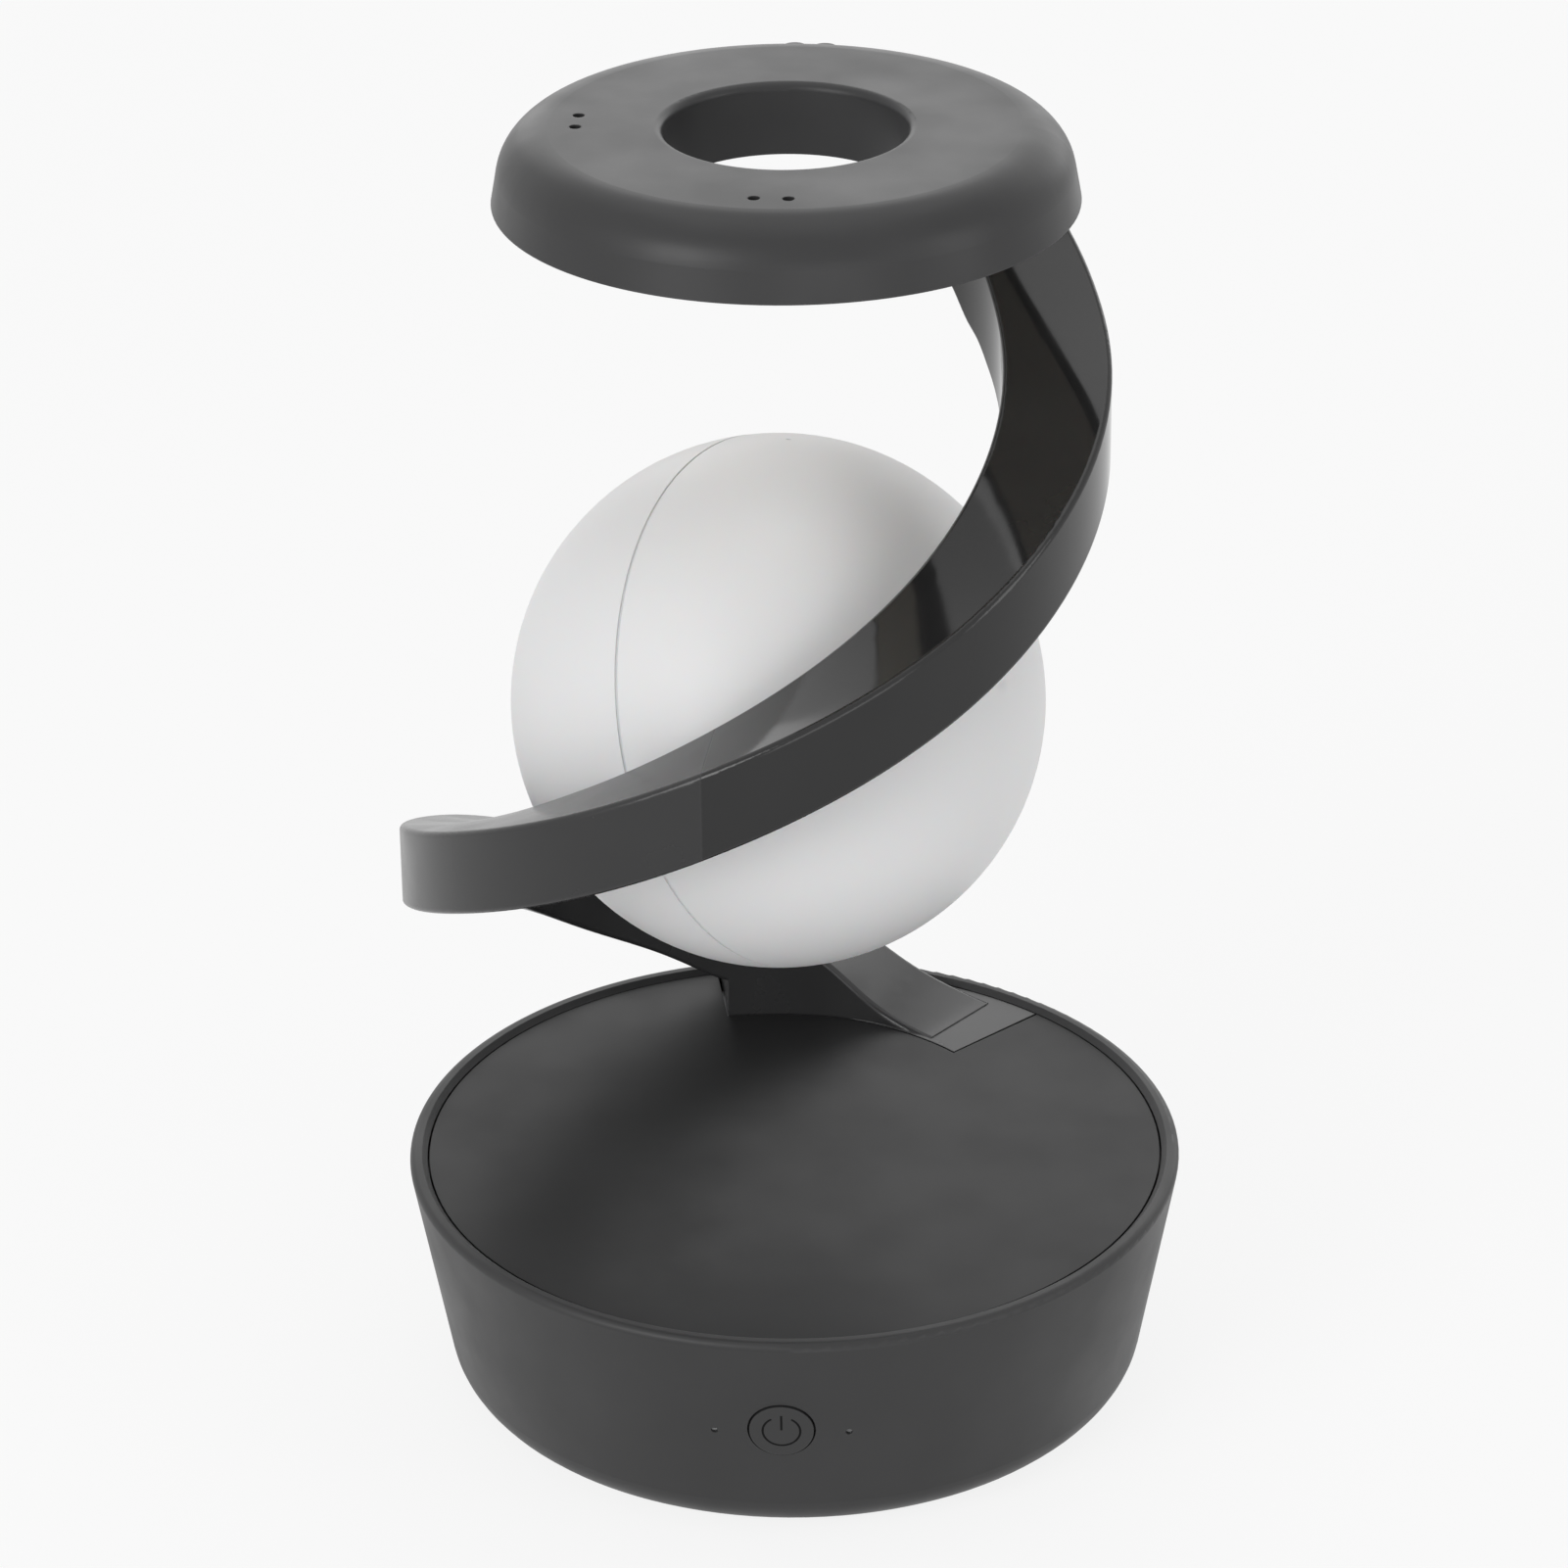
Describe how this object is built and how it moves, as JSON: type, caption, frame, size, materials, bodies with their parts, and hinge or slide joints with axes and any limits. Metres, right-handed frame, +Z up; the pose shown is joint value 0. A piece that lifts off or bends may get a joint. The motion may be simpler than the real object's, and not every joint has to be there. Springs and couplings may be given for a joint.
{
  "type": "magnetic balance lamp",
  "caption": "Table lamp with a drum base, a spiral ribbon arm that climbs to a light ring, and a white light ball that a magnet holds against the inside of the arm.",
  "frame": {"origin": "centre of the base on the table", "axes": "+Z up, the power button faces -Y, +X to the right seen from the front"},
  "size_m": [0.1498, 0.1498, 0.2562],
  "materials": {
    "base_paint": "dark grey satin with a fine texture",
    "lid_paint": "dark grey satin, flat",
    "ring_paint": "dark grey satin",
    "satin_gloss": "dark grey, half gloss",
    "high_gloss": "near-black, polished",
    "black_plastic": "black moulded",
    "rubber": "soft pad",
    "steel": "zinc plated",
    "cast_iron": "rough cast",
    "circuit_board": "green solder resist",
    "clear_plastic": "clear moulded",
    "magnet_steel": "nickel plated",
    "diffuser": "frosted, lets light through",
    "led": "phosphor under clear resin",
    "ball_white": "white satin, slightly translucent",
    "foil": "wrapped cell"
  },
  "bodies": {
    "base": {"base_housing": "base_paint", "base_lid": "lid_paint", "bottom_cover": "black_plastic", "rubber_feet": "rubber", "cover_screws": "steel", "ballast_plate": "cast_iron", "main_board": "circuit_board", "board_chips": "black_plastic", "board_screws": "steel", "power_inlet": "steel", "button_board": "circuit_board", "tact_switch": "black_plastic", "indicator_pipes": "clear_plastic", "foot_clamp_plate": "steel", "foot_screws": "steel", "lower_arm": "satin_gloss", "arm_joint_plug": "black_plastic", "upper_arm": "high_gloss", "lamp_lead": "black_plastic", "ring_housing": "ring_paint", "ring_diffuser": "diffuser", "ring_led_board": "circuit_board", "ring_leds": "led", "ring_board_screws": "steel", "ring_arm_screws": "steel"},
    "button": {"power_button": "base_paint", "switch_plunger": "black_plastic"},
    "magnet": {"arm_magnet": "magnet_steel"},
    "ball": {"ball_shell_left": "ball_white", "ball_shell_right": "ball_white", "ball_frame": "black_plastic", "ball_magnet": "magnet_steel", "ball_battery": "foil", "ball_led_boards": "circuit_board", "ball_leds": "led"}
  },
  "joints": [
    {"name": "button_press", "type": "slide", "parent": "base", "child": "button", "axis": [0, 0.9846, 0.1748], "range_m": [0, 0.0008], "stiffness_N_per_m": 400},
    {"name": "ball_spin", "type": "hinge", "parent": "base", "child": "magnet", "pos_m": [-0.0025, 0.005, 0.1398], "axis": [0.4603, 0.8878, 0], "continuous": true},
    {"name": "ball_pull_off", "type": "slide", "parent": "magnet", "child": "ball", "axis": [0.4603, 0.8878, 0], "range_m": [0, 0.14]}
  ]
}
